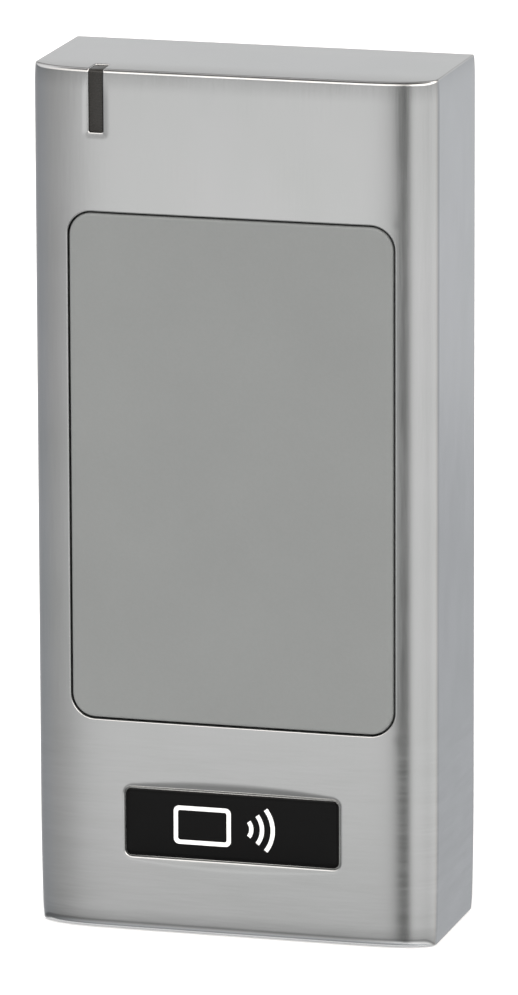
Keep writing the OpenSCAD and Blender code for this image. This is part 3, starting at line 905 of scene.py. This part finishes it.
# Stops of (angle in degrees, level, tint). The azimuth runs from straight ahead of the front to
# the viewer's right, and the elevation upwards.
AROUND = [
    (-180, 0.42, COOL), (-120, 0.42, COOL), (-75, 0.48, COOL), (-48, 0.54, WHITE),
    (-32, 0.65, WHITE), (-19, 0.94, WHITE), (-1, 0.98, WHITE), (4.5, 0.19, GREEN),
    (13.5, 0.18, GREEN), (19, 1.06, WHITE), (28, 1.06, WHITE), (60, 0.95, WHITE),
    (98, 1.02, WHITE), (124, 0.86, WARM), (150, 0.80, COOL), (180, 0.80, COOL),
]
FRONT_UP = [
    (-90, 1.5, WHITE), (-74, 1.3, WHITE), (-62, 0.7, WHITE), (-48, 0.36, WHITE),
    (-31, 0.34, WHITE), (-23, 0.47, WHITE), (-16, 0.97, WHITE), (-10, 1.0, WHITE),
    (-5, 0.60, WHITE), (6, 0.60, WHITE), (16, 1.4, WHITE), (24, 2.6, WARM),
    (58, 2.6, WARM), (66, 0.5, WARM), (76, 0.18, WARM), (90, 0.18, WARM),
]
BACK_UP = [
    (-90, 1.5, WHITE), (-42, 1.3, WHITE), (-27, 0.75, WHITE), (-19, 0.545, COOL),
    (-5, 0.575, COOL), (4, 0.68, COOL), (12, 0.86, WHITE), (16.5, 0.74, WHITE),
    (20, 0.50, WHITE), (28, 0.34, WHITE), (55, 0.20, WARM), (90, 0.18, WARM),
]
BACK_ONLY, FRONT_ONLY = -0.75, -0.35    # the two elevation ramps blend between these places on -Y


def world_light():
    """A soft studio as light by direction: pale cards at the left front and the right, a dark gap
    between them, a bright strip above the front, and a pale background behind."""
    world = bpy.data.worlds.new("studio")
    bpy.context.scene.world = world
    world.use_nodes = True
    tree = world.node_tree
    background = tree.nodes["Background"]
    where = tree.nodes.new("ShaderNodeTexCoord")
    parts = node(tree, "ShaderNodeSeparateXYZ", {}, Vector=where.outputs["Generated"])
    ahead = node(tree, "ShaderNodeMath", {"operation": "MULTIPLY"}, _0=parts.outputs["Y"],
                 _1=-1.0).outputs[0]
    azimuth = node(tree, "ShaderNodeMath", {"operation": "ARCTAN2"}, _0=parts.outputs["X"],
                   _1=ahead).outputs[0]
    elevation = node(tree, "ShaderNodeMath", {"operation": "ARCSINE"}, _0=parts.outputs["Z"]).outputs[0]

    def ramp(value, low, high, stops):
        fac = node(tree, "ShaderNodeMapRange", {}, Value=value, From_Min=math.radians(low),
                   From_Max=math.radians(high)).outputs["Result"]
        made = node(tree, "ShaderNodeValToRGB", {}, Fac=fac)
        elements = made.color_ramp.elements
        while len(elements) > 1:
            elements.remove(elements[-1])
        for k, (angle, level, tint) in enumerate(stops):
            at = (angle - low) / (high - low)
            element = elements[0] if k == 0 else elements.new(at)
            element.position = at
            element.color = tuple(level / PEAK * c for c in tint) + (1,)
        return made.outputs["Color"]

    around = ramp(azimuth, -180, 180, AROUND)
    front_up = ramp(elevation, -90, 90, FRONT_UP)
    back_up = ramp(elevation, -90, 90, BACK_UP)
    front = blend_colours(tree, 1.0, around, front_up, "MULTIPLY")
    facing = node(tree, "ShaderNodeMapRange", {"interpolation_type": "SMOOTHSTEP"}, Value=ahead,
                  From_Min=BACK_ONLY, From_Max=FRONT_ONLY).outputs["Result"]
    behind = blend_colours(tree, 1.0, back_up, (1 / PEAK, 1 / PEAK, 1 / PEAK, 1), "MULTIPLY")
    total = blend_colours(tree, facing, behind, front)
    tree.links.new(total, background.inputs["Color"])
    background.inputs["Strength"].default_value = PEAK ** 2


def stage_floor():
    shell = Shell()
    floor_z = cad_box[0][2] / MM
    half = 6000
    corners = shell.add([(-half, -half, floor_z), (half, -half, floor_z),
                         (half, half, floor_z), (-half, half, floor_z)])
    shell.faces.append(tuple(corners))
    material, tree, shader = new_material("pale_floor")
    shader.inputs["Base Color"].default_value = (0.93, 0.93, 0.93, 1)
    shader.inputs["Roughness"].default_value = 0.9
    shader.inputs["Emission Color"].default_value = (0.97, 0.985, 1.0, 1)
    shader.inputs["Emission Strength"].default_value = 0.2
    floor = shell.build("floor", material)
    floor.visible_glossy = False
    floor.visible_shadow = False


def area_light(name, place, target, size, power, reflected=False):
    data = bpy.data.lights.new(name, "AREA")
    data.shape = "RECTANGLE"
    data.size, data.size_y = size
    data.energy = power
    lamp = bpy.data.objects.new(name, data)
    lamp.location = place
    lamp.rotation_mode = "QUATERNION"
    lamp.rotation_quaternion = (Vector(target) - Vector(place)).to_track_quat("-Z", "Y")
    lamp.visible_glossy = reflected
    lamp.visible_camera = False
    bpy.context.scene.collection.objects.link(lamp)


def soft_card(name, mirror_point, direction, size, power):
    """A small card that the camera sees reflected at mirror_point, half a metre away along direction."""
    place = Vector(mirror_point) + 0.5 * Vector(direction)
    area_light(name, place, mirror_point, size, power, reflected=True)


def camera():
    """A long lens at the viewer's right and a little above, the object a touch left of the middle."""
    yaw, pitch, roll = (math.radians(a) for a in (15.62, 13.04, -0.20))
    distance = 1.523
    aim_right, aim_up = 0.00456, 0.0022
    lens, sensor = 343.1, 36.0
    right = Vector((math.cos(yaw), math.sin(yaw), 0))
    ahead = Vector((-math.sin(yaw) * math.cos(pitch), math.cos(yaw) * math.cos(pitch), -math.sin(pitch)))
    up = right.cross(ahead)
    tilted_right = right * math.cos(roll) + up * math.sin(roll)
    tilted_up = up * math.cos(roll) - right * math.sin(roll)
    front_centre = Vector((0, -DEPTH * MM, 0))
    data = bpy.data.cameras.new("camera")
    data.lens = lens
    data.sensor_width = sensor
    data.clip_start = 0.01
    lens_view = bpy.data.objects.new("camera", data)
    lens_view.location = front_centre + tilted_right * aim_right + tilted_up * aim_up - ahead * distance
    lens_view.rotation_mode = "QUATERNION"
    turn = Matrix((tilted_right, tilted_up, -ahead)).transposed()
    lens_view.rotation_quaternion = turn.to_quaternion()
    bpy.context.scene.collection.objects.link(lens_view)
    bpy.context.scene.camera = lens_view


# ---- Putting it together ----

bpy.context.scene.view_settings.view_transform = "Standard"
camera()
world_light()
stage_floor()
area_light("top_fill", (-0.5, -0.6, 1.6), (0, 0, 0), (1.2, 1.2), 10)
soft_card("front_card", (0.015, -DEPTH * MM, 0.045), (-0.262, -0.938, -0.226), (0.16, 0.14), 0.012)
soft_card("side_card", (HALF_W * MM, -DEPTH * MM / 2, 0.066), (0.262, 0.938, -0.226), (0.16, 0.09), 0.006)

MATERIALS = {
    "satin_metal": satin_metal("satin_metal"),
    "window_plastic": moulded("window_plastic", (0.192, 0.202, 0.200), 0.5, (2200, 2200, 2200), 0.25, 0.035),
    "seal_rubber": moulded("seal_rubber", (0.02, 0.02, 0.02), 0.75),
    "smoked_plastic": moulded("smoked_plastic", (0.022, 0.021, 0.019), 0.28, (900, 900, 2600), 0.05,
                              Specular_IOR_Level=0.35),
    "black_gloss": moulded("black_gloss", (0.003, 0.003, 0.003), 0.1, (2500, 2500, 2500), 0.02,
                           Specular_IOR_Level=0.1),
    "plate_edge": plain_metal("plate_edge", (0.80, 0.80, 0.79), 0.15),
    "white_ink": moulded("white_ink", (0.96, 0.96, 0.96), 0.35, (3000, 3000, 3000), 0.05, 0.02),
    "natural_nylon": moulded("natural_nylon", (0.72, 0.68, 0.58), 0.45),
    "copper_winding": plain_metal("copper_winding", (0.72, 0.34, 0.18), 0.3, (300, 9000, 300), 0.5),
    "green_laminate": moulded("green_laminate", (0.012, 0.12, 0.04), 0.3, (1500, 1500, 1500), 0.1, 0.2),
    "zinc_screws": plain_metal("zinc_screws", (0.66, 0.67, 0.69), 0.25),
    "chip_black": moulded("chip_black", (0.02, 0.02, 0.021), 0.6),
    "can_metal": plain_metal("can_metal", (0.75, 0.75, 0.74), 0.3),
    "passive_ceramic": moulded("passive_ceramic", (0.35, 0.24, 0.14), 0.4),
    "moulded_black": moulded("moulded_black", (0.018, 0.018, 0.018), 0.5),
    "led_lens": moulded("led_lens", (0.85, 0.82, 0.62), 0.15),
    "connector_white": moulded("connector_white", (0.78, 0.76, 0.70), 0.4),
    "gold_pins": plain_metal("gold_pins", (0.85, 0.62, 0.26), 0.22),
    "spring_steel": plain_metal("spring_steel", (0.55, 0.55, 0.56), 0.25),
    "plunger_white": moulded("plunger_white", (0.80, 0.80, 0.78), 0.4),
    "cover_black": moulded("cover_black", (0.022, 0.022, 0.024), 0.5, (1800, 1800, 1800), 0.4),
    "zinc_sheet": plain_metal("zinc_sheet", (0.60, 0.62, 0.64), 0.35, (120, 120, 900), 0.15),
    "insert_brass": plain_metal("insert_brass", (0.72, 0.52, 0.22), 0.3),
    "stainless_screw": plain_metal("stainless_screw", (0.56, 0.56, 0.56), 0.28),
}
SLOT_OF = {row["node"]: row["material_slot"] for row in frame["record"]["subparts"]}
for name, cad in frame["nodes"].items():
    cad.data.materials.clear()
    cad.data.materials.append(MATERIALS[SLOT_OF[name]])


def replace(piece, node_name):
    """Hangs a new piece from the body of a CAD node, where it already stands, and hides the node."""
    bodies = frame["record"]["behaviour"]["bodies"]
    body = next(b for b, names in bodies.items() if node_name in names)
    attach(piece, body)
    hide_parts(node_name)


for name, width in EASED.items():
    replace(eased(name, width, MATERIALS[SLOT_OF[name]]), name)
replace(housing_shell(MATERIALS["satin_metal"]), "housing")
replace(window_face(MATERIALS["window_plastic"]), "window_panel")
replace(nameplate_face(MATERIALS["black_gloss"]), "nameplate")
rim = nameplate_rim(MATERIALS["plate_edge"])
replace(rim, "nameplate")
replace(light_bar(MATERIALS["smoked_plastic"]), "light_pipe")
replace(antenna_winding(MATERIALS["copper_winding"]), "antenna_coil")

spring = coil_spring(MATERIALS["spring_steel"])
replace(spring, "tamper_spring")
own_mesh(spring)
